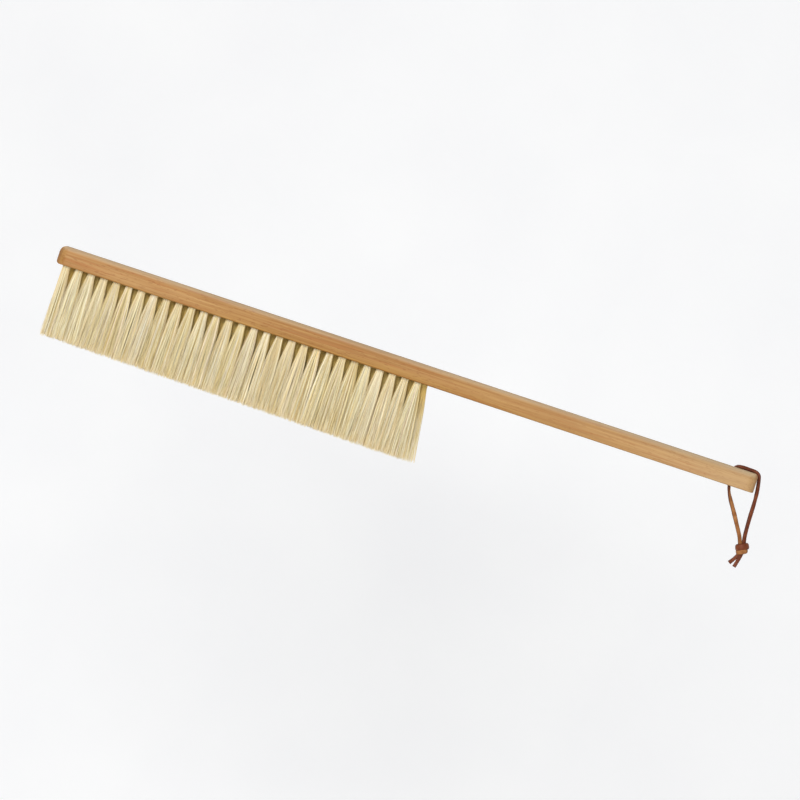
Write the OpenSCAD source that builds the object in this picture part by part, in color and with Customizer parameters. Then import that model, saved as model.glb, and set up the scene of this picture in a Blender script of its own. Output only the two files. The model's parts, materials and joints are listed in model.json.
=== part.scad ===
// Bee brush: a straight beech stock with two staggered rows of natural bristle tufts,
// each tuft folded over a flat wire anchor, and a knotted leather hanging lace.
// Frame: +X runs from the toe end to the handle end, +Z points to the back of the stock, so the
// bristles point down. The brush lies on its rear side, the face towards +Y, and the origin is the
// middle of that face. Parts are drawn from the toe end of the bristle face and moved there.

/* [Stock] */
// Length, toe end to handle end
stock_l = 450; // [440:5:480]
// Width, across the brushing direction
stock_w = 22; // [21:0.5:26]
// Thickness, bristle face to back
stock_t = 12; // [11:0.5:14]
// Corner radius of both ends, seen from above
end_plan_r = 6; // [5:0.5:7]
// Radius of the toe's upper corner, seen from the side
toe_top_r = 4.8; // [3:0.2:6]
// Radius of the toe's lower corner, seen from the side
toe_low_r = 2.4; // [1:0.2:3]
// Radius of the handle end's upper corner, under the lace
heel_top_r = 3; // [2.6:0.1:4.4]
// Radius of the handle end's lower corner
heel_low_r = 1.2; // [0.5:0.1:3]
// Rounding of the two long edges of the back
back_edge_r = 2.4; // [1:0.2:4]
// Rounding of the two long edges of the bristle face
face_edge_r = 0.8; // [0.4:0.1:1.5]

/* [Bristles] */
// Distance between tufts in a row
tuft_pitch = 8.1; // [8:0.1:8.4]
// First tuft of the front row, from the toe end
first_tuft_x = 6.9; // [6.5:0.1:8]
// Distance between the two rows
row_gap = 9; // [8.6:0.1:10]
// Diameter of a drilled tuft hole
tuft_hole_d = 5; // [4.6:0.1:5.2]
// Depth of a drilled tuft hole
tuft_hole_depth = 8; // [7:0.5:9]
// Diameter of a tuft once it has spread
tuft_spread_d = 7.8; // [7:0.1:7.8]
// Distance below the face at which a tuft has spread
tuft_spread_z = 14; // [10:1:20]
// Free bristle length at the toe
bristle_l_toe = 43.6; // [35:0.2:60]
// Free bristle length at the last tuft
bristle_l_heel = 47; // [35:1:60]

/* [Anchors] */
// Length of an anchor, which bites into both walls of its hole
anchor_l = 6.2; // [5.6:0.1:6.4]
// Thickness of the flat wire
anchor_t = 0.5; // [0.3:0.1:0.6]
// Height of the flat wire
anchor_h = 1.6; // [1.2:0.1:2]
// Room above an anchor for the fold of its tuft
fold_room = 1.4; // [1:0.1:1.8]

/* [Lace] */
// Thickness of the lace
lace_d = 2.2; // [2:0.1:2.2]
// Diameter of the lace hole
lace_hole_d = 5; // [4:0.5:6]
// Lace hole, from the handle end
lace_hole_inset = 15.6; // [14:0.1:18]
// Angle at which the loop hangs, from straight down towards the handle end
hang_angle = 18.3; // [12:0.1:24]
// Top of the knot, below the bristle face
knot_drop = 31.3; // [28:0.1:40]
// Top of the knot, beyond the handle end
knot_out = 3.65; // [3:0.05:4.5]

/* [Hidden] */
$fn = 64;

beech = "burlywood";
bristle = "lightyellow";
steel = "silver";
leather = "saddlebrown";

// The two rows, by name, side of the centre line and shift along the stock
tuft_count = 29;
tufts_per_node = 2;
node_count = ceil(tuft_count / tufts_per_node);
front_y = -row_gap / 2;
rear_y = row_gap / 2;
rear_shift = tuft_pitch / 2;

cut = 1;            // how far a cutting shape runs past a face
joint_gap = 0.15;   // air between the two sides of a flexing place
root_gap = 0.04;    // air around a tuft root and an anchor
hole_r = tuft_hole_d / 2;
root_r = hole_r - root_gap;
anchor_z = tuft_hole_depth - fold_room - anchor_h;
tuft_pivot_z = -(root_r + joint_gap);

// The lace leaves the top of its hole, turns along the back, passes over the handle end and hangs
lace_r = lace_d / 2;
lace_hole_x = stock_l - lace_hole_inset;
lace_over_z = stock_t + lace_r + 0.3;
lace_bend_r = 2.2;
lace_end_bend_r = 3.6;
lace_out_x = stock_l + 2.9;
loop_pivot_z = -2.5;
bight_end_z = loop_pivot_z + lace_r + joint_gap;

// Sizes of the knot and its tails, in a frame hanging from the top of the knot
strand_side = 1.2;
crotch = [1.75, 4.8];
crotch_swell = 0.06;
upper_wrap_d = 8.4;
upper_wrap_h = 3.8;
lower_wrap_d = 6.4;
lower_wrap_h = 2.9;
knot_core_r = 1.9;
knot_top = 0.05;
tail_pivot_drop = 7.95;
short_tail = [[-3.4, -tail_pivot_drop], [-7.9, -11.5]];
long_tail = [[-0.6, -tail_pivot_drop], [-5, -14.25]];

function two_digits(n) = n < 10 ? str("0", n) : str(n);
function first_of(g) = g * tufts_per_node;
function last_of(g) = min(first_of(g) + tufts_per_node, tuft_count) - 1;
function tuft_node(row, g) =
    first_of(g) == last_of(g)
        ? str(row, "_tuft_", two_digits(first_of(g) + 1))
        : str(row, "_tufts_", two_digits(first_of(g) + 1), "_", two_digits(last_of(g) + 1));
function tuft_x(i, shift) = first_tuft_x + shift + i * tuft_pitch;
function bristle_l(i) =
    bristle_l_toe + (bristle_l_heel - bristle_l_toe) * i / (tuft_count - 1);

// A point given across and up from the knot's top, in the hanging direction
function hung(p) = [
    stock_l + knot_out + p.x * cos(hang_angle) - p.y * sin(hang_angle),
    0,
    -knot_drop + p.x * sin(hang_angle) + p.y * cos(hang_angle)
];

// Moves a shape drawn from the toe end, centre line and bristle face to the model's frame
module placed() {
    translate([-stock_l / 2, -stock_w / 2, -stock_t / 2])
        children();
}

// ---- stock ----

// The material outside a rounded corner; the corner is at the origin and the body lies towards +X +Y
module corner_waste(r) {
    difference() {
        translate([-cut, -cut])
            square(r + cut);
        translate([r, r])
            circle(r);
    }
}

// A rectangle from the origin with its own radius at each corner
module rounded_plate(w, h, low_left, low_right, top_right, top_left) {
    difference() {
        square([w, h]);
        corner_waste(low_left);
        translate([w, 0])
            rotate(90)
                corner_waste(low_right);
        translate([w, h])
            rotate(180)
                corner_waste(top_right);
        translate([0, h])
            rotate(270)
                corner_waste(top_left);
    }
}

// The straight bar: its section, cut to the outlines seen from above and from the side
module stock_blank() {
    intersection() {
        translate([0, -stock_w / 2, 0])
            rotate([90, 0, 90])
                linear_extrude(stock_l)
                    rounded_plate(stock_w, stock_t, face_edge_r, face_edge_r, back_edge_r, back_edge_r);
        translate([0, -stock_w / 2, -cut])
            linear_extrude(stock_t + 2 * cut)
                rounded_plate(stock_l, stock_w, end_plan_r, end_plan_r, end_plan_r, end_plan_r);
        translate([0, stock_w / 2 + cut, 0])
            rotate([90, 0, 0])
                linear_extrude(stock_w + 2 * cut)
                    rounded_plate(stock_l, stock_t, toe_low_r, heel_low_r, heel_top_r, toe_top_r);
    }
}

// One flat wire anchor, grown by a gap where it is cut out of something
module anchor(x, y, gap = 0) {
    translate([x - anchor_t / 2 - gap, y - anchor_l / 2 - gap, anchor_z - gap])
        cube([anchor_t + 2 * gap, anchor_l + 2 * gap, anchor_h + 2 * gap]);
}

module tuft_holes(y, shift) {
    for (i = [0 : tuft_count - 1]) {
        translate([tuft_x(i, shift), y, -cut])
            cylinder(h = tuft_hole_depth + cut, r = hole_r);
        anchor(tuft_x(i, shift), y, root_gap / 2);
    }
}

module beech_stock() {
    color(beech)
        placed()
            difference() {
                stock_blank();
                tuft_holes(front_y, 0);
                tuft_holes(rear_y, rear_shift);
                translate([lace_hole_x, 0, -cut])
                    cylinder(h = stock_t + 2 * cut, d = lace_hole_d);
            }
}

// ---- tufts and their anchors ----

module row_anchors(y, shift) {
    color(steel)
        placed()
            for (i = [0 : tuft_count - 1])
                anchor(tuft_x(i, shift), y);
}

// The folded end of each tuft, packed into its hole around the anchor
module tuft_roots(y, shift) {
    color(bristle)
        placed()
            for (i = [0 : tuft_count - 1])
                difference() {
                    translate([tuft_x(i, shift), y, 0])
                        cylinder(h = tuft_hole_depth - root_gap, r = root_r);
                    anchor(tuft_x(i, shift), y, root_gap);
                }
}

// The free part of one tuft: a round waist to flex about, a flare, then an even brush of bristle
module free_tuft(x, y, l) {
    spread_r = tuft_spread_d / 2;
    translate([x, y, tuft_pivot_z])
        sphere(root_r);
    translate([x, y, -tuft_spread_z])
        cylinder(h = tuft_spread_z + tuft_pivot_z, r1 = spread_r, r2 = root_r);
    translate([x, y, -l])
        cylinder(h = l - tuft_spread_z, r = spread_r);
}

module tuft_group(g, y, shift) {
    color(bristle)
        placed()
            for (i = [first_of(g) : last_of(g)])
                free_tuft(tuft_x(i, shift), y, bristle_l(i));
}

// ---- lace ----

// A straight run of lace between two points of the centre plane
module lace_run(from, to) {
    run = to - from;
    translate(from)
        rotate([0, atan2(run.x, run.z), 0])
            cylinder(h = norm(run), r = lace_r);
}

// A quarter turn of lace in the centre plane, from start_angle on
module lace_bend(centre, bend_r, start_angle) {
    translate(centre)
        rotate([90, 0, 0])
            rotate([0, 0, start_angle])
                rotate_extrude(angle = 90)
                    translate([bend_r, 0])
                        circle(lace_r);
}

// The part of the lace held by the stock: through the hole, along the back and over the end
module lace_bight() {
    bend_z = lace_over_z - lace_bend_r;
    end_bend_x = lace_out_x - lace_end_bend_r;
    end_bend_z = lace_over_z - lace_end_bend_r;
    color(leather)
        placed() {
            lace_run([lace_hole_x, 0, bight_end_z], [lace_hole_x, 0, bend_z]);
            lace_bend([lace_hole_x + lace_bend_r, 0, bend_z], lace_bend_r, 90);
            lace_run([lace_hole_x + lace_bend_r, 0, lace_over_z], [end_bend_x, 0, lace_over_z]);
            lace_bend([end_bend_x, 0, end_bend_z], lace_end_bend_r, 0);
            lace_run([lace_out_x, 0, bight_end_z], [lace_out_x, 0, end_bend_z]);
        }
}

// One strand of the loop, from its flexing place to the top of the knot
module loop_strand(x, side) {
    top = [x, 0, loop_pivot_z];
    bend = hung([side * crotch.x, crotch.y]);
    end = hung([side * strand_side, knot_top]);
    color(leather)
        placed() {
            translate(top)
                sphere(lace_r);
            lace_run(top, bend);
            translate(bend)
                sphere(lace_r + crotch_swell);
            lace_run(bend, end);
        }
}

module lace_inner_strand() {
    loop_strand(lace_hole_x, -1);
}

module lace_outer_strand() {
    loop_strand(lace_out_x, 1);
}

// The overhand knot: two wraps around the two strands
module lace_knot() {
    upper_r = upper_wrap_h / 2;
    lower_r = lower_wrap_h / 2;
    color(leather)
        placed()
            translate(hung([0, -knot_top]))
                rotate([0, -hang_angle, 0])
                    rotate_extrude() {
                        translate([upper_wrap_d / 2 - upper_r, -upper_r])
                            circle(upper_r);
                        translate([lower_wrap_d / 2 - lower_r, -upper_wrap_h - lower_r])
                            circle(lower_r);
                        translate([0, -upper_wrap_h - lower_wrap_h])
                            square([knot_core_r, upper_wrap_h + lower_wrap_h]);
                    }
}

module tail(ends) {
    color(leather)
        placed() {
            translate(hung(ends[0]))
                sphere(lace_r);
            lace_run(hung(ends[0]), hung(ends[1]));
        }
}

module lace_short_tail() {
    tail(short_tail);
}

module lace_long_tail() {
    tail(long_tail);
}

beech_stock();
row_anchors(front_y, 0);  // front_row_anchors
row_anchors(rear_y, rear_shift);  // rear_row_anchors
tuft_roots(front_y, 0);  // front_tuft_roots
tuft_roots(rear_y, rear_shift);  // rear_tuft_roots
for (g = [0 : node_count - 1]) {
    tuft_group(g, front_y, 0);
    tuft_group(g, rear_y, rear_shift);
}
lace_bight();
lace_inner_strand();
lace_outer_strand();
lace_knot();
lace_short_tail();
lace_long_tail();
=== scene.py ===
import json
import math

import bpy
import numpy as np
from mathutils import Matrix, Vector


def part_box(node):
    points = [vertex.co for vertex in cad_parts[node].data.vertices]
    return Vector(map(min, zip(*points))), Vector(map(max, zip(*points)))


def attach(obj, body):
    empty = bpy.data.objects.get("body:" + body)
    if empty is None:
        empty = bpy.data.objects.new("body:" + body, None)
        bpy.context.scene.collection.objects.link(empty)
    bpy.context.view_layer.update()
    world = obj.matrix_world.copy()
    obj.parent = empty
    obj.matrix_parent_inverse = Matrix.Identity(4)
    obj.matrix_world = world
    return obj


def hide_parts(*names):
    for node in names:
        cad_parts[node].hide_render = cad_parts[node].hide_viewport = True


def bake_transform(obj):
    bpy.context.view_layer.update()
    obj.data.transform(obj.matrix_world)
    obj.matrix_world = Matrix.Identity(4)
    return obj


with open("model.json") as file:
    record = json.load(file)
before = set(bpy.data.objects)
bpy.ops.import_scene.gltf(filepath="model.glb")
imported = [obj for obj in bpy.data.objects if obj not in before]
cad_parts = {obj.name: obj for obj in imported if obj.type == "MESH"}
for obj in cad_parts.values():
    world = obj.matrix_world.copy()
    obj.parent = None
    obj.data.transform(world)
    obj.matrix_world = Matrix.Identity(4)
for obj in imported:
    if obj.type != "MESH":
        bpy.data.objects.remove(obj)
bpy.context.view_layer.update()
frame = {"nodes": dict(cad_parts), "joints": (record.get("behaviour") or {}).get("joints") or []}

MM = 0.001

# ---- places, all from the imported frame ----

# Everything below is measured from the toe end, the centre line and the bristle face of the stock
FRAME_LOW, FRAME_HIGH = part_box("beech_stock")
ORIGIN = Vector((FRAME_LOW.x, (FRAME_LOW.y + FRAME_HIGH.y) / 2, FRAME_LOW.z))


def brush_box(node):
    low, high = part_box(node)
    return low - ORIGIN, high - ORIGIN


STOCK_HIGH = FRAME_HIGH - ORIGIN
STOCK_TOP = STOCK_HIGH.z
HANDLE_END = STOCK_HIGH.x
ANCHOR_LOW, ANCHOR_HIGH = brush_box("front_row_anchors")
JOINTS = {joint["name"]: joint for joint in frame["joints"]}


def joint_place(name):
    return Vector(JOINTS[name]["pos_m"]) - ORIGIN


# ---- meshes ----


def mesh_object(name, points, faces, attributes=None, smooth=True):
    """A mesh object from points, faces and named values per point."""
    mesh = bpy.data.meshes.new(name)
    mesh.from_pydata(np.asarray(points) + np.array(ORIGIN), [], faces)
    mesh.polygons.foreach_set("use_smooth", np.full(len(mesh.polygons), smooth))
    for label, values in (attributes or {}).items():
        layer = mesh.attributes.new(label, "FLOAT", "POINT")
        layer.data.foreach_set("value", np.asarray(values, np.float32).ravel())
    mesh.update()
    made = bpy.data.objects.new(name, mesh)
    bpy.context.scene.collection.objects.link(made)
    return made


def unit(vectors):
    return vectors / np.linalg.norm(vectors, axis=-1, keepdims=True)


def ring_faces(rings, sides, first=0):
    """Quads joining each ring of points to the next, and a cap at both ends."""
    faces = []
    for ring in range(rings - 1):
        a = first + ring * sides
        for k in range(sides):
            n = (k + 1) % sides
            faces.append((a + k, a + n, a + sides + n, a + sides + k))
    faces.append(tuple(first + k for k in reversed(range(sides))))
    last = first + (rings - 1) * sides
    faces.append(tuple(last + k for k in range(sides)))
    return faces


def dress(piece, material, slot, *replaced):
    """Gives a piece its material and hides the CAD nodes that it stands for. The slot argument is not used.
    """
    piece.data.materials.append(material)
    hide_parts(*replaced)


def flex(piece):
    """Bakes a piece's placement into its mesh points."""
    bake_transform(piece)


# ---- bristles ----

BRISTLES_PER_TUFT = 130       # each is folded in half, so a tuft shows twice as many tips
BRISTLE_SIDES = 3
BRISTLE_ROOT_R = 0.135 * MM
BRISTLE_TIP_SHARE = 0.55      # of that radius, left at the tip
BRISTLE_R_RANGE = (0.8, 1.15)  # thin and thick bristles, as shares of it
FREE_SHARES = np.array([1, 0.88, 0.75, 0.62, 0.5, 0.39, 0.29, 0.2, 0.12, 0.05, 0])  # points, from tip to root
BUNDLE_R = 2.3 * MM
WIRE_CLEAR = 0.42 * MM        # nearest a bristle comes to the middle of its anchor wire
FOLD_RISE = (0.35 * MM, 1.2 * MM)  # height of the innermost and the outermost fold over the wire

SPREAD = 2.05                 # how many times wider a tuft would grow, given length enough
SPREAD_DEPTH = 11.2 * MM      # where it has done half of that
SPREAD_POWER = 2.0
EDGE_TUFTS = {1: (0.3, -0.15), -3: (1, 0.7), -2: (1, 1.7), -1: (1, 4.4)}  # spread share outwards, splay in mm
STRANDS = 19                  # groups that the bristles of each half of a tuft cling together in
CLING = 0.24                  # how far a strand closes up at its tips

# Sizes of random offsets: of each bristle, and of each strand as a whole
DRIFT = (0.24 * MM, 0.4 * MM)  # at the tip
BOW = (0.13 * MM, 0.18 * MM)  # halfway down
RIPPLE = 0.06 * MM
LEAN = 0.4 * MM               # of a whole tuft
STRAY_SHARE = 0.05            # of the bristles, that drift further
STRAY_TIMES = 2.2
CUT = 0.75 * MM
CUT_RANGE = (-6 * MM, 1.6 * MM)
SHORT_SHARE = 0.2             # of the bristles, cut shorter by up to SHORT_BY
SHORT_BY = 5 * MM


def bundle_places(rng, count):
    """Places in one half of a tuft hole, evenly packed: an array of count x 2."""
    golden_turn = math.pi * (3 - math.sqrt(5))
    k = np.arange(count * 3)
    r = BUNDLE_R * np.sqrt((k + 0.5) / len(k))
    x, y = r * np.cos(k * golden_turn), r * np.sin(k * golden_turn)
    places = np.stack([x, y], 1)[x > 0]
    return places[rng.choice(len(places), count, replace=False)]


def strands_of(rng, places):
    """The strand that each bristle clings to."""
    middles = places[rng.choice(len(places), STRANDS, replace=False)]
    return np.argmin(np.linalg.norm(places[:, None] - middles[None], axis=2), 1)


def scattered(rng, strand, sizes):
    """Random sideways offsets of each bristle, part its own and part its strand's."""
    own_size, strand_size = sizes
    return rng.normal(0, own_size, (len(strand), 2)) + rng.normal(0, strand_size, (STRANDS, 2))[strand]


def weighted(offsets, weights):
    """Each bristle's sideways offset at each of its points: bristle x point x 2."""
    return offsets[:, None, :] * weights[None, :, None]


def free_path(rng, base, strand, length, lean, outer_share, splay):
    """Offsets of each bristle's free part from its tuft's middle, tip first: bristle x point x 3."""
    count = len(base)
    share = FREE_SHARES
    depth = share * length
    reached = depth**SPREAD_POWER
    grown = (SPREAD - 1) * reached / (reached + SPREAD_DEPTH**SPREAD_POWER)
    drift = scattered(rng, strand, DRIFT)
    drift[rng.random(count) < STRAY_SHARE] *= STRAY_TIMES
    bow = scattered(rng, strand, BOW)
    ripple = rng.normal(0, RIPPLE, (count, 2))

    # The tuft opens out, and its strands close up on their own middles
    outward = np.ones_like(base)
    outward[base[:, 0] * splay > 0, 0] = outer_share
    flat = weighted(base, np.ones_like(share)) + weighted(base * outward, grown)
    middle = np.array([flat[strand == s].mean(0) for s in range(STRANDS)])[strand]
    flat += (middle - flat) * (CLING * share)[None, :, None]

    # Drift and lean grow towards the tips, bow is widest halfway down, and ripple is a wave and a quarter
    flat += weighted(drift, share**1.3)
    flat += weighted(bow, np.sin(math.pi * share))
    flat += weighted(ripple, np.sin(2.5 * math.pi * share))
    flat += lean * (share**1.5)[None, :, None]
    outer = np.clip(base[:, 0] / BUNDLE_R * np.sign(splay), 0, 1)
    flat[:, :, 0] += splay * (0.25 + 0.75 * outer)[:, None] * (share**1.5)[None, :]

    # Uneven tips
    cut = rng.normal(0, CUT, count)
    short = rng.random(count) < SHORT_SHARE
    cut[short] -= rng.random(short.sum()) * SHORT_BY
    depths = depth[None, :] * (1 + np.clip(cut, *CUT_RANGE) / length)[:, None]
    return np.concatenate([flat, -depths[:, :, None]], 2)


def fold_path(base):
    """Offsets of each bristle inside its hole, over the anchor wire from one side to the other."""
    half = WIRE_CLEAR + base[:, 0] * (BUNDLE_R - WIRE_CLEAR) / BUNDLE_R
    rise = np.interp(half, (WIRE_CLEAR, BUNDLE_R), FOLD_RISE)
    below = np.full(len(base), ANCHOR_LOW.z - 0.5 * MM)
    y = base[:, 1]
    rows = [np.stack([-half, y, below], 1)]
    for turn in np.radians((0, 45, 90, 135, 180)):
        z = ANCHOR_HIGH.z - 0.1 * MM + rise * math.sin(turn)
        rows.append(np.stack([-half * math.cos(turn), y, z], 1))
    rows.append(np.stack([half, y, below], 1))
    return np.stack(rows, 1)


def tuft_mesh(name, seed, x, y, length, outer_share, splay):
    """One tuft: every bristle a closed, tapered tube folded over its anchor, its tips cut a little unevenly.

    The attribute along runs from 0 at the stock to 1 at the tips, sheltered is 1 where the brush hides a
    bristle from the light, and tone is one number per strand.
    """
    rng = np.random.default_rng(seed)
    lean = rng.normal(0, LEAN, 2)
    right = bundle_places(rng, BRISTLES_PER_TUFT)
    left = right * (-1, 1)
    strand = strands_of(rng, right)
    start = free_path(rng, left, strand, length, lean, outer_share, splay)
    end = free_path(rng, right, strand, length, lean, outer_share, splay)[:, ::-1]
    paths = np.concatenate([start, fold_path(right), end], 1) + np.array([x, y, 0])
    count, points = paths.shape[:2]

    along = np.concatenate([FREE_SHARES, np.zeros(points - 2 * len(FREE_SHARES)), FREE_SHARES[::-1]])
    radius = BRISTLE_ROOT_R * (1 - (1 - BRISTLE_TIP_SHARE) * along**1.5)
    radius = radius[None, :] * rng.uniform(*BRISTLE_R_RANGE, count)[:, None]

    tangent = unit(np.gradient(paths, axis=1))
    side = unit(np.cross(tangent, np.array([0, 1, 0])))
    other = np.cross(tangent, side)
    phase = rng.uniform(0, 2 * math.pi, count)
    corners = phase[:, None] + 2 * math.pi * np.arange(BRISTLE_SIDES)[None, :] / BRISTLE_SIDES
    offset = (
        side[:, :, None, :] * np.cos(corners)[:, None, :, None]
        + other[:, :, None, :] * np.sin(corners)[:, None, :, None]
    )
    verts = paths[:, :, None, :] + offset * radius[:, :, None, None]
    faces = []
    for k in range(count):
        faces += ring_faces(points, BRISTLE_SIDES, k * points * BRISTLE_SIDES)

    inner = np.clip(0.6 - right[:, 1] * np.sign(y) / BUNDLE_R, 0, 1)
    sheltered = inner[:, None] * np.clip(1.25 - 2.3 * along, 0, 1)[None, :]
    tone = np.repeat(rng.random(STRANDS)[strand], points)
    values = {"along": np.tile(along, count), "sheltered": sheltered.ravel(), "tone": tone}
    values = {label: np.repeat(value, BRISTLE_SIDES) for label, value in values.items()}
    return mesh_object(name, verts.reshape(-1, 3), faces, values, smooth=False)


def tuft_nodes(row):
    return sorted(node for node in frame["nodes"] if node.startswith(f"{row}_tuft") and "roots" not in node)


def row_places(row):
    """Each tuft of a row: its number, the CAD node that it is part of, its middle and its free length."""
    places = []
    for node in tuft_nodes(row):
        low, high = brush_box(node)
        radius = (high.y - low.y) / 2
        numbers = [int(word) for word in node.split("_") if word.isdigit()]  # front_tufts_01_02 gives 1 and 2
        for number, x in zip(numbers, (low.x + radius, high.x - radius)):
            places.append((number, node, x, (low.y + high.y) / 2, -low.z))
    return places


def make_tufts(row, first_seed):
    places = row_places(row)
    last = max(place[0] for place in places)
    for number, node, x, y, length in places:
        outer_share, splay = EDGE_TUFTS.get(number if number == 1 else number - last - 1, (1, 0))
        name = f"{row}_tuft_{number:02d}"
        tuft = tuft_mesh(name, first_seed + number, x, y, length, outer_share, splay * MM)
        dress(tuft, BRISTLE, "bristle", node, f"{row}_tuft_roots")
        flex(tuft)


# ---- lace ----

LACE_HALF_W = 1.3 * MM
LACE_HALF_T = 0.85 * MM
LACE_SIDES = 20
LACE_STEP = 0.35 * MM
LACE_ROUNDNESS = 0.62         # of its section: 1 is an ellipse, lower is squarer
UNEVEN_W, UNEVEN_T = 0.045, 0.06  # random changes of its width and thickness along it
UNEVEN_STEPS = 9              # points from one change to the next
TAPER_STEPS = 3.0             # points from a tapered end to nearly full size
BIGHT_LOW, BIGHT_HIGH = brush_box("lace_bight")
BIGHT_R = (BIGHT_HIGH.y - BIGHT_LOW.y) / 2
HOLE_X = BIGHT_LOW.x + BIGHT_R
OUT_X = BIGHT_HIGH.x - BIGHT_R
TAIL_PIVOT = joint_place("tail_flex")
TAIL_AXIS = Vector(JOINTS["tail_flex"]["axis"]).normalized()
TAIL_PIVOT_IN_KNOT = (-0.6 * MM, -7.95 * MM)
HANG = math.atan2(TAIL_AXIS.z, TAIL_AXIS.x)  # the loop hangs this much off the stock's own vertical


def hang_turn(u, w):
    return Vector((u * math.cos(HANG) - w * math.sin(HANG), 0, u * math.sin(HANG) + w * math.cos(HANG)))


KNOT_TOP = TAIL_PIVOT - hang_turn(*TAIL_PIVOT_IN_KNOT)


def hung(u, w, out=0):
    """A point given in mm across, up and away from the viewer's side, from the top of the knot."""
    place = KNOT_TOP + hang_turn(u * MM, w * MM)
    place.y += out * MM
    return np.array(place)


def smooth_path(stops):
    """Places and twists at an even step along a Catmull-Rom curve through stops, each a place and a twist."""
    rows = np.array([[*place, twist] for place, twist in stops], float)
    padded = np.vstack([2 * rows[0] - rows[1], rows, 2 * rows[-1] - rows[-2]])
    fine = []
    for k in range(1, len(padded) - 2):
        p0, p1, p2, p3 = padded[k - 1 : k + 3]
        t = np.linspace(0, 1, 24, endpoint=False)[:, None]
        slope = p2 - p0
        bend = 2 * p0 - 5 * p1 + 4 * p2 - p3
        swerve = 3 * p1 - p0 - 3 * p2 + p3
        fine.append(0.5 * (2 * p1 + slope * t + bend * t**2 + swerve * t**3))
    fine = np.vstack(fine + [padded[-2:-1]])
    gone = np.concatenate([[0], np.cumsum(np.linalg.norm(np.diff(fine[:, :3], axis=0), axis=1))])
    at = np.linspace(0, gone[-1], max(8, int(gone[-1] / LACE_STEP)))
    even = np.stack([np.interp(at, gone, column) for column in fine.T], 1)
    return even[:, :3], even[:, 3]


def facing_from_twist(path, twist):
    """The grain side's direction: turned by twist degrees from the outside of the loop towards the viewer."""
    tangent = unit(np.gradient(path, axis=0))
    outside = np.stack([-tangent[:, 2], np.zeros(len(path)), tangent[:, 0]], 1)
    turn = np.radians(twist)[:, None]
    return outside * np.cos(turn) + np.array([0, -1, 0]) * np.sin(turn)


def strip_mesh(name, seed, path, grain, half_w, half_t, taper=0.0, roundness=LACE_ROUNDNESS):
    """A flat leather strip along path. grain is the way its smooth side faces at each point.

    The attribute side runs from -1 on the flesh side to 1 on the grain side, and rim is 1 on the cut edges.
    """
    rng = np.random.default_rng(seed)
    count = len(path)
    changes = max(4, count // UNEVEN_STEPS)

    def uneven(size):
        change_at = np.linspace(0, count - 1, changes)
        return 1 + np.interp(np.arange(count), change_at, rng.normal(0, size, changes))

    def squarer(values):
        return np.sign(values) * np.abs(values) ** roundness

    width, thick = half_w * uneven(UNEVEN_W), half_t * uneven(UNEVEN_T)
    if taper:
        from_end = np.minimum(np.arange(count), np.arange(count)[::-1])
        shrink = 1 - taper * np.exp(-from_end / TAPER_STEPS)
        width, thick = width * shrink, thick * shrink
    tangent = unit(np.gradient(path, axis=0))
    facing = unit(grain - tangent * np.sum(grain * tangent, 1, keepdims=True))
    across = np.cross(tangent, facing)
    turn = 2 * math.pi * np.arange(LACE_SIDES) / LACE_SIDES
    out, along = squarer(np.cos(turn)), squarer(np.sin(turn))
    verts = (
        path[:, None, :]
        + facing[:, None, :] * (thick[:, None] * out[None, :])[:, :, None]
        + across[:, None, :] * (width[:, None] * along[None, :])[:, :, None]
    )
    values = {"side": np.tile(out, count), "rim": np.tile(np.abs(along) ** 3, count)}
    return mesh_object(name, verts.reshape(-1, 3), ring_faces(count, LACE_SIDES), values)


def make_loop():
    """The lace from inside the knot up to the hole, over the handle end and down to the knot again."""
    lay = LACE_HALF_T + 0.12 * MM
    corner_r = 3.0 * MM
    corner = np.array([HANDLE_END - corner_r, 0, STOCK_TOP - corner_r])

    def on_corner(degrees, lift):
        a = math.radians(degrees)
        return corner + (corner_r + lay + lift) * np.array([math.cos(a), 0, math.sin(a)])

    def below_hole(x, z):
        return np.array([HOLE_X + x * MM, 0, z * MM])

    def over_top(x, lift):
        return np.array([HOLE_X + x * MM, 0, STOCK_TOP + lay + lift])

    def beyond_end(x, z):
        return np.array([OUT_X + x * MM, 0, z * MM])

    path, twist = smooth_path([
        (hung(-0.9, -4.8, 0.3), -80),
        (hung(-1.2, 0.2, 0.1), -84),
        (hung(-1.45, 3.0), -88),
        (hung(-1.95, 6.2), -88),
        (below_hole(8.3, -14.4), -76),
        (below_hole(3.3, -6.6), -36),
        (below_hole(1.0, -1.6), 6),
        (np.array([HOLE_X + 0.1 * MM, 0, STOCK_TOP * 0.3]), 12),
        (np.array([HOLE_X + 0.1 * MM, 0, STOCK_TOP - 1.6 * MM]), 0),
        (over_top(1.7, -0.3 * lay), 20),
        (over_top(5.2, 0.27 * MM), 50),
        (over_top(8.6, 0.24 * MM), 46),
        (on_corner(88, 0.16 * MM), 38),
        (on_corner(55, 0.16 * MM), 34),
        (on_corner(22, 0.2 * MM), 38),
        (beyond_end(-0.9, 5.0), 44),
        (beyond_end(-0.3, 0.5), 52),
        (beyond_end(0.1, -6.0), 58),
        (beyond_end(0.3, -16.0), 60),
        (hung(1.9, 5.4), 58),
        (hung(1.35, 2.2), 56),
        (hung(1.15, 0.2, 0.1), 60),
        (hung(0.8, -4.8, 0.3), 70),
    ])
    loop = strip_mesh("lace_loop_strip", 7, path, facing_from_twist(path, twist), LACE_HALF_W, LACE_HALF_T)
    dress(loop, LEATHER, "lace", "lace_bight", "lace_inner_strand", "lace_outer_strand")
    flex(loop)


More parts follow.
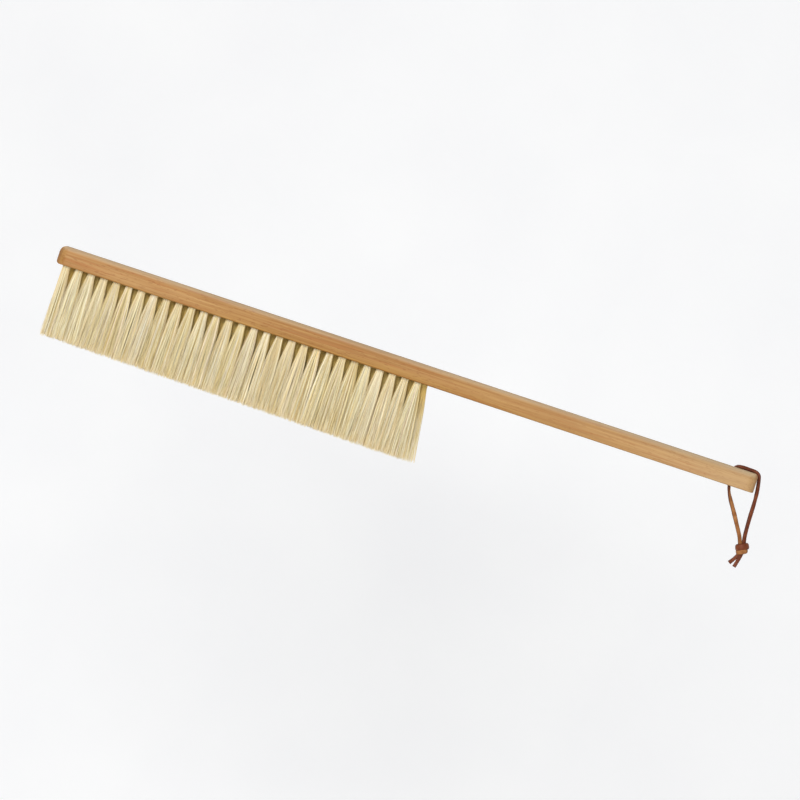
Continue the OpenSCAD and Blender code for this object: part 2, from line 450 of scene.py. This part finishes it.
def make_knot():
    """Two turns of the lace round its own strands: the upper grain side out, the lower flesh side out."""
    turns = np.radians(np.linspace(-205, 535, 190))
    share = np.linspace(0, 1, len(turns))
    lower = 1 / (1 + np.exp(-(share - 0.52) * 22))

    def passing(upper_value, lower_value):
        return upper_value * (1 - lower) + lower_value * lower

    reach = passing(3.3, 2.6) * (1 - 0.45 * np.exp(-share / 0.04) - 0.5 * np.exp(-(1 - share) / 0.05))
    depth = 0.84 * reach
    height = passing(-1.95, -5.0) + 0.55 * np.sin(turns) + 0.3 * np.exp(-share / 0.06)
    across, back = reach * np.sin(turns), -depth * np.cos(turns)
    path = np.array([hung(*place) for place in zip(across, height, back)])
    middle = np.array([hung(0, h) for h in height])
    outward = unit(path - middle)
    turned = lower * math.pi
    grain = outward * np.cos(turned)[:, None] + np.array(hang_turn(0, 1)) * np.sin(turned)[:, None]
    half_w = passing(2.0, 1.65) * MM
    knot = strip_mesh("lace_knot_wraps", 11, path, grain, half_w, 1.1 * MM, taper=0.4, roundness=0.85)
    dress(knot, LEATHER, "lace", "lace_knot")
    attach(knot, "lace_loop")


def make_tail(node, seed, stops):
    path, twist = smooth_path([(hung(*place), twist) for place, twist in stops])
    tail = strip_mesh(f"{node}_strip", seed, path, facing_from_twist(path, twist), 1.2 * MM, 0.8 * MM)
    dress(tail, LEATHER, "lace", node)
    flex(tail)


def make_tails():
    make_tail("lace_short_tail", 21, [
        ((-0.7, -4.4, 0.2), 100),
        ((-1.9, -6.6, 0.1), 96),
        ((-3.9, -8.5), 84),
        ((-6.0, -10.2), 72),
        ((-8.0, -11.7), 64),
    ])
    make_tail("lace_long_tail", 22, [
        ((0.3, -4.4, 0.2), 70),
        ((-0.5, -6.7), 76),
        ((-1.8, -9.1, -0.2), 84),
        ((-3.4, -11.8), 92),
        ((-5.0, -14.3), 100),
    ])


# ---- materials ----


def srgb(r, g, b):
    """A colour given as 0 to 255 screen values, as linear light."""
    screen = (c / 255 for c in (r, g, b))
    return tuple(c / 12.92 if c <= 0.04045 else ((c + 0.055) / 1.055) ** 2.4 for c in screen)


class Nodes:
    """Short names for building one procedural material."""

    def __init__(self, name):
        self.material = bpy.data.materials.new(name)
        self.material.use_nodes = True
        self.tree = self.material.node_tree
        self.surface = self.tree.nodes["Principled BSDF"]

    def add(self, kind, **values):
        node = self.tree.nodes.new(kind)
        for key, value in values.items():
            setattr(node, key, value)
        return node

    def link(self, source, target):
        if isinstance(source, (int, float)):
            target.default_value = source
        elif isinstance(source, tuple):
            target.default_value = (*source, 1)
        else:
            self.tree.links.new(source, target)

    def math(self, operation, a, b=0.0, c=0.0):
        node = self.add("ShaderNodeMath", operation=operation)
        for socket, value in zip(node.inputs, (a, b, c)):
            self.link(value, socket)
        return node.outputs[0]

    def plus(self, a, b):
        return self.math("ADD", a, b)

    def times(self, a, b):
        return self.math("MULTIPLY", a, b)

    def absolute(self, value):
        return self.math("ABSOLUTE", value)

    def split(self, vector):
        node = self.add("ShaderNodeSeparateXYZ")
        self.link(vector, node.inputs[0])
        return node.outputs

    def geometry(self, output):
        return self.add("ShaderNodeNewGeometry").outputs[output]

    def attribute(self, name):
        return self.add("ShaderNodeAttribute", attribute_name=name).outputs["Fac"]

    def place(self):
        node = self.add("ShaderNodeVectorMath", operation="SUBTRACT")
        self.link(self.add("ShaderNodeTexCoord").outputs["Object"], node.inputs[0])
        node.inputs[1].default_value = ORIGIN
        return node.outputs[0]

    def stretched(self, scale, turn=(0, 0, 0)):
        node = self.add("ShaderNodeMapping")
        node.inputs["Scale"].default_value = scale
        node.inputs["Rotation"].default_value = [math.radians(t) for t in turn]
        self.link(self.place(), node.inputs["Vector"])
        return node.outputs[0]

    def noise(self, scale, detail, rough=0.55, turn=(0, 0, 0)):
        """Noise with scale waves to the metre along x, y and z."""
        node = self.add("ShaderNodeTexNoise")
        self.link(self.stretched(scale, turn), node.inputs["Vector"])
        for key, value in (("Scale", 1.0), ("Detail", detail), ("Roughness", rough), ("Distortion", 0.0)):
            node.inputs[key].default_value = value
        return node.outputs["Fac"]

    def ramp(self, value, stops):
        node = self.add("ShaderNodeValToRGB")
        elements = node.color_ramp.elements
        while len(elements) < len(stops):
            elements.new(0.5)
        for element, (at, colour) in zip(elements, stops):
            element.position = at
            element.color = (*colour, 1)
        self.link(value, node.inputs["Fac"])
        return node.outputs["Color"]

    def span(self, value, low, high, to_low=0.0, to_high=1.0):
        """A smooth step from to_low at low to to_high at high."""
        node = self.add("ShaderNodeMapRange", clamp=True, interpolation_type="SMOOTHSTEP")
        self.link(value, node.inputs["Value"])
        for key, number in zip(("From Min", "From Max", "To Min", "To Max"), (low, high, to_low, to_high)):
            node.inputs[key].default_value = number
        return node.outputs["Result"]

    def mix(self, amount, a, b, blend="MIX"):
        node = self.add("ShaderNodeMix", data_type="RGBA", blend_type=blend)
        for value, key in ((amount, "Factor"), (a, "A"), (b, "B")):
            self.link(value, node.inputs[key])
        return node.outputs["Result"]

    def bump(self, height, strength, distance):
        node = self.add("ShaderNodeBump")
        node.inputs["Strength"].default_value = strength
        node.inputs["Distance"].default_value = distance
        self.link(height, node.inputs["Height"])
        return node.outputs["Normal"]

    def finish(self, colour, roughness, normal, specular=0.5):
        self.link(colour, self.surface.inputs["Base Color"])
        self.link(roughness, self.surface.inputs["Roughness"])
        self.link(normal, self.surface.inputs["Normal"])
        self.link(specular, self.surface.inputs["Specular IOR Level"])
        return self.material


def late_wood(n, x, y, z):
    """1 on the dark part of each growth ring: arcs near the toe, almost straight lines along the handle."""
    wander = n.noise((9, 60, 60), detail=3)
    run_out = n.math("MULTIPLY_ADD", x, -0.028, 0.0085)
    deep = n.plus(n.plus(y, 0.011), run_out)
    high = n.plus(z, -0.0035)
    ring_r = n.math("SQRT", n.plus(n.times(deep, deep), n.times(high, high)))
    ring_at = n.math("MULTIPLY_ADD", wander, 0.0042, ring_r)
    return n.span(n.math("FRACT", n.times(ring_at, 520)), 0.45, 1.0)


def in_holes(n, x, y, z):
    """1 on the walls of the tuft holes and the lace hole, 0 on the outside of the stock."""
    inside = n.times(n.span(z, 0.3 * MM, 1.2 * MM), n.span(n.absolute(y), 7.4 * MM, 7.2 * MM))
    inside = n.times(inside, n.span(z, STOCK_TOP - 0.2 * MM, STOCK_TOP - 0.9 * MM))
    inside = n.times(inside, n.span(x, HANDLE_END - 6 * MM, HANDLE_END - 8 * MM))
    return n.times(inside, n.span(x, 2 * MM, 3.5 * MM))


def beech_material():
    n = Nodes("beech")
    x, y, z = n.split(n.place())
    handle = n.span(x, 0.2, 0.44)
    middle = n.math("SUBTRACT", n.span(x, 0.02, 0.17), n.span(x, 0.2, 0.42))

    # Long fibres, short ray flecks and slow changes of tone
    late = late_wood(n, x, y, z)
    fibre = n.noise((22, 2300, 2300), detail=5, rough=0.62)
    soft_fibre = n.noise((7, 520, 520), detail=3)
    streak = n.noise((34, 1050, 1050), detail=2, rough=0.5)
    fleck = n.span(n.noise((330, 1500, 1500), detail=1, rough=0.4, turn=(0, 3, 0)), 0.62, 0.7)
    tone = n.noise((11, 90, 90), detail=2)

    colour = n.ramp(tone, [
        (0.25, srgb(156, 109, 53)), (0.5, srgb(169, 122, 65)), (0.75, srgb(181, 136, 79)),
    ])
    colour = n.mix(n.times(handle, 0.55), colour, srgb(186, 150, 104))
    colour = n.mix(n.times(middle, 0.42), colour, srgb(142, 95, 44))
    colour = n.mix(n.times(late, n.span(x, 0.2, 0.4, 0.42, 0.26)), colour, srgb(146, 94, 44))
    colour = n.mix(n.span(soft_fibre, 0.35, 0.7, 0.0, 0.5), colour, srgb(195, 153, 98))
    colour = n.mix(n.span(streak, 0.5, 0.72, 0.0, 0.5), colour, srgb(168, 104, 48))
    colour = n.mix(n.span(streak, 0.5, 0.28, 0.0, 0.45), colour, srgb(192, 149, 90))
    colour = n.mix(n.span(fibre, 0.48, 0.74, 0.0, 0.5), colour, srgb(140, 88, 40))
    colour = n.mix(n.span(x, 0.36, 0.44, 0.0, 0.34), colour, srgb(196, 166, 124))
    colour = n.mix(n.times(fleck, n.span(x, 0.2, 0.32, 0.4, 0.22)), colour, srgb(138, 82, 38))

    # Deeper colour over the bristles and along the top of the handle, and painted shade along the bristle
    # side of the stock, where the bristles shade it
    bristle_shade_strip = n.times(middle, n.span(z, 6 * MM, 2 * MM))
    handle_top = n.times(n.span(x, 0.33, 0.42), n.span(z, 6.5 * MM, 10 * MM))
    colour = n.mix(middle, colour, (1.0, 0.99, 0.88), blend="MULTIPLY")
    # Painted shade: the strip of the stock next to the bristles is painted darker and yellower
    colour = n.mix(bristle_shade_strip, colour, (0.86, 0.8, 0.56), blend="MULTIPLY")
    colour = n.mix(handle_top, colour, (0.86, 0.85, 0.8), blend="MULTIPLY")

    # End grain is darker; the long top edges are painted paler as a painted highlight, a painted reflection
    # of the bright surroundings on their rounding; the walls inside the holes are painted dark as painted
    # shade
    end_grain = n.span(n.absolute(n.split(n.geometry("Normal"))[0]), 0.6, 0.95)
    pores = n.noise((500, 1500, 1500), detail=2)
    end_colour = n.ramp(pores, [(0.35, srgb(136, 88, 48)), (0.6, srgb(172, 124, 74))])
    colour = n.mix(n.times(end_grain, 0.65), colour, end_colour)
    near_side = n.span(n.absolute(y), STOCK_HIGH.y - 2.6 * MM, STOCK_HIGH.y - 0.9 * MM)
    near_top = n.span(z, STOCK_TOP - 3.6 * MM, STOCK_TOP - 0.8 * MM)
    # Painted highlight: a pale band painted along the rounded top edges, with the grain still showing through
    # it
    top_edge = n.times(near_side, near_top)
    painted_edge_highlight = n.times(top_edge, n.span(fibre, 0.35, 0.7, 0.66, 0.36))
    colour = n.mix(painted_edge_highlight, colour, srgb(199, 180, 150))
    # Painted shade: the walls inside the tuft holes and the lace hole are painted dark, where shade falls in
    # the recesses
    colour = n.mix(n.times(in_holes(n, x, y, z), 0.8), colour, srgb(92, 58, 30))

    rough = n.plus(n.span(fibre, 0.3, 0.8, 0.44, 0.62), n.times(top_edge, 0.06))
    height = n.plus(n.times(fibre, 0.7), n.times(fleck, -0.5))
    height = n.math("MULTIPLY_ADD", late, 0.35, height)
    return n.finish(colour, rough, n.bump(height, 0.35, 0.08 * MM), specular=0.25)


def bristle_material():
    n = Nodes("natural_bristle")
    tuft = n.add("ShaderNodeObjectInfo").outputs["Random"]
    along = n.attribute("along")
    colour = n.ramp(n.geometry("Random Per Island"), [
        (0.0, srgb(214, 186, 108)), (0.14, srgb(236, 220, 164)), (0.45, srgb(247, 240, 206)),
        (0.8, srgb(250, 245, 220)), (1.0, srgb(246, 226, 198)),
    ])
    patch = n.noise((420, 420, 40), detail=2)
    colour = n.mix(n.span(patch, 0.55, 0.75, 0.0, 0.4), colour, srgb(238, 206, 132))
    colour = n.mix(n.span(along, 0.0, 0.4, 0.2, 0.0), colour, srgb(230, 208, 158))
    colour = n.mix(n.span(along, 0.9, 1.0, 0.0, 0.16), colour, srgb(236, 200, 146))
    colour = n.mix(n.times(tuft, 0.14), colour, srgb(244, 222, 170))
    colour = n.mix(n.span(n.attribute("tone"), 0.55, 1.0, 0.0, 0.5), colour, srgb(226, 204, 146))
    # Painted shade: bristles that the brush hides from the light are painted a darker, yellower tone
    colour = n.mix(n.times(n.attribute("sheltered"), 0.9), colour, srgb(232, 202, 112))
    streak = n.noise((1500, 1500, 90), detail=2)
    rough = n.span(streak, 0.3, 0.7, 0.38, 0.58)
    return n.finish(colour, rough, n.bump(streak, 0.2, 0.02 * MM), specular=0.35)


def leather_material():
    n = Nodes("lace_leather")
    side = n.attribute("side")
    rim = n.attribute("rim")
    blotch = n.noise((260, 260, 260), detail=4, rough=0.6)
    fine = n.noise((2600, 2600, 2600), detail=4, rough=0.65)
    grain = n.ramp(blotch, [(0.3, srgb(86, 39, 19)), (0.5, srgb(114, 56, 29)), (0.72, srgb(140, 76, 44))])
    flesh = n.ramp(blotch, [(0.3, srgb(132, 81, 42)), (0.52, srgb(165, 110, 63)), (0.75, srgb(187, 134, 85))])
    colour = n.mix(n.span(side, -0.35, 0.2), flesh, grain)
    colour = n.mix(n.span(rim, 0.45, 1.0, 0.0, 0.62), colour, srgb(70, 32, 18))
    colour = n.mix(n.span(fine, 0.5, 0.8, 0.0, 0.3), colour, srgb(92, 44, 24))
    creases = n.add("ShaderNodeTexVoronoi", feature="DISTANCE_TO_EDGE")
    n.link(n.stretched((1700, 1700, 1700)), creases.inputs["Vector"])
    creases.inputs["Scale"].default_value = 1.0
    pebble = n.span(creases.outputs["Distance"], 0.0, 0.2)
    colour = n.mix(n.times(n.math("SUBTRACT", 1.0, pebble), 0.22), colour, srgb(74, 34, 18))
    rough = n.plus(n.span(side, -0.3, 0.3, 0.78, 0.46), n.span(fine, 0.3, 0.8, -0.05, 0.1))
    height = n.plus(n.times(pebble, 0.6), n.times(fine, 0.6))
    return n.finish(colour, rough, n.bump(height, 0.5, 0.12 * MM), specular=0.22)


def wire_material():
    n = Nodes("anchor_wire")
    drawn = n.noise((1800, 160, 1800), detail=3)
    colour = n.ramp(drawn, [(0.3, (0.42, 0.41, 0.38)), (0.7, (0.62, 0.6, 0.55))])
    n.surface.inputs["Metallic"].default_value = 1.0
    return n.finish(colour, n.span(drawn, 0.3, 0.7, 0.28, 0.46), n.bump(drawn, 0.2, 0.02 * MM))


def plaster_material():
    """A plain pale surface, seen from its front only, so that it never hides the brush from behind."""
    n = Nodes("pale_plaster")
    broad = n.noise((9, 9, 9), detail=5)
    colour = n.ramp(broad, [(0.3, srgb(248, 248, 249)), (0.7, srgb(252, 252, 252))])
    n.finish(colour, 0.9, n.bump(broad, 0.15, 2 * MM))
    n.surface.inputs["Emission Color"].default_value = (1, 1, 1, 1)
    n.surface.inputs["Emission Strength"].default_value = 0.09
    both = n.add("ShaderNodeMixShader")
    n.link(n.geometry("Backfacing"), both.inputs[0])
    n.link(n.surface.outputs[0], both.inputs[1])
    n.link(n.add("ShaderNodeBsdfTransparent").outputs[0], both.inputs[2])
    n.link(both.outputs[0], n.tree.nodes["Material Output"].inputs["Surface"])
    return n.material


BEECH = beech_material()
BRISTLE = bristle_material()
LEATHER = leather_material()
WIRE = wire_material()

for node, material in (("beech_stock", BEECH), ("front_row_anchors", WIRE), ("rear_row_anchors", WIRE)):
    frame["nodes"][node].data.materials.clear()
    frame["nodes"][node].data.materials.append(material)
make_tufts("front", 0)
make_tufts("rear", 100)
make_loop()
make_knot()
make_tails()

# ---- stage, light and camera ----

PHOTO_TILT = math.radians(18.31)      # the stock slopes down to the right by this much
VIEW_WIDTH = 0.491                    # width of the picture at the brush, in metres
VIEW_CENTRE = Vector((0.2267, 0, -0.0136))
CAMERA_DISTANCE = 4.0
SENSOR = 36.0
BACKDROP_DISTANCE = 0.8
BACKDROP_HALF = 4.0
WORLD_STRENGTH = 0.46

PICTURE_RIGHT = Vector((math.cos(PHOTO_TILT), 0, math.sin(PHOTO_TILT)))
PICTURE_UP = Vector((-math.sin(PHOTO_TILT), 0, math.cos(PHOTO_TILT)))
TOWARDS_VIEWER = Vector((0, -1, 0))

# Soft round lights: place from the middle of the brush (right, up, towards the viewer), size and power
LIGHTS = {
    "key": ((-0.35, 0.55, 2.0), 0.8, 25.0),
    "fill": ((0.3, -0.45, 1.8), 1.2, 8.4),
    "low": ((0.0, -1.8, 0.8), 1.2, 5.0),
    "back": ((0.0, 1.4, -1.4), 1.2, 12.0),
}


def make_backdrop():
    middle = Vector((STOCK_HIGH.x / 2, BACKDROP_DISTANCE, 0))
    corners = [middle + Vector((x, 0, z)) * BACKDROP_HALF for x, z in ((-1, -1), (1, -1), (1, 1), (-1, 1))]
    backdrop = mesh_object("backdrop", [tuple(corner) for corner in corners], [(0, 1, 2, 3)])
    backdrop.data.materials.append(plaster_material())


def make_light(name, place, size, power):
    """A light that shines on the middle of the brush."""
    light = bpy.data.lights.new(name, "AREA")
    light.shape = "DISK"
    light.size = size
    light.energy = power
    right, up, out = place
    offset = PICTURE_RIGHT * right + PICTURE_UP * up + TOWARDS_VIEWER * out
    lamp = bpy.data.objects.new(name, light)
    bpy.context.scene.collection.objects.link(lamp)
    lamp.location = VIEW_CENTRE + offset + ORIGIN
    lamp.rotation_mode = "QUATERNION"
    lamp.rotation_quaternion = (-offset).to_track_quat("-Z", "Y")


def make_world():
    world = bpy.data.worlds.new("studio")
    world.use_nodes = True
    world.node_tree.nodes["Background"].inputs["Color"].default_value = (0.98, 0.99, 1.0, 1)
    world.node_tree.nodes["Background"].inputs["Strength"].default_value = WORLD_STRENGTH
    bpy.context.scene.world = world


def make_camera():
    data = bpy.data.cameras.new("camera")
    data.sensor_width = SENSOR
    data.lens = SENSOR * CAMERA_DISTANCE / VIEW_WIDTH
    data.clip_end = 50
    camera = bpy.data.objects.new("camera", data)
    bpy.context.scene.collection.objects.link(camera)
    place = ORIGIN + VIEW_CENTRE + TOWARDS_VIEWER * CAMERA_DISTANCE
    turn = Matrix((PICTURE_RIGHT, PICTURE_UP, TOWARDS_VIEWER)).transposed().to_4x4()
    camera.matrix_world = Matrix.Translation(place) @ turn
    bpy.context.scene.camera = camera
    bpy.context.scene.view_settings.view_transform = "Standard"


make_backdrop()
make_world()
for name, (place, size, power) in LIGHTS.items():
    make_light(name, place, size, power)
make_camera()
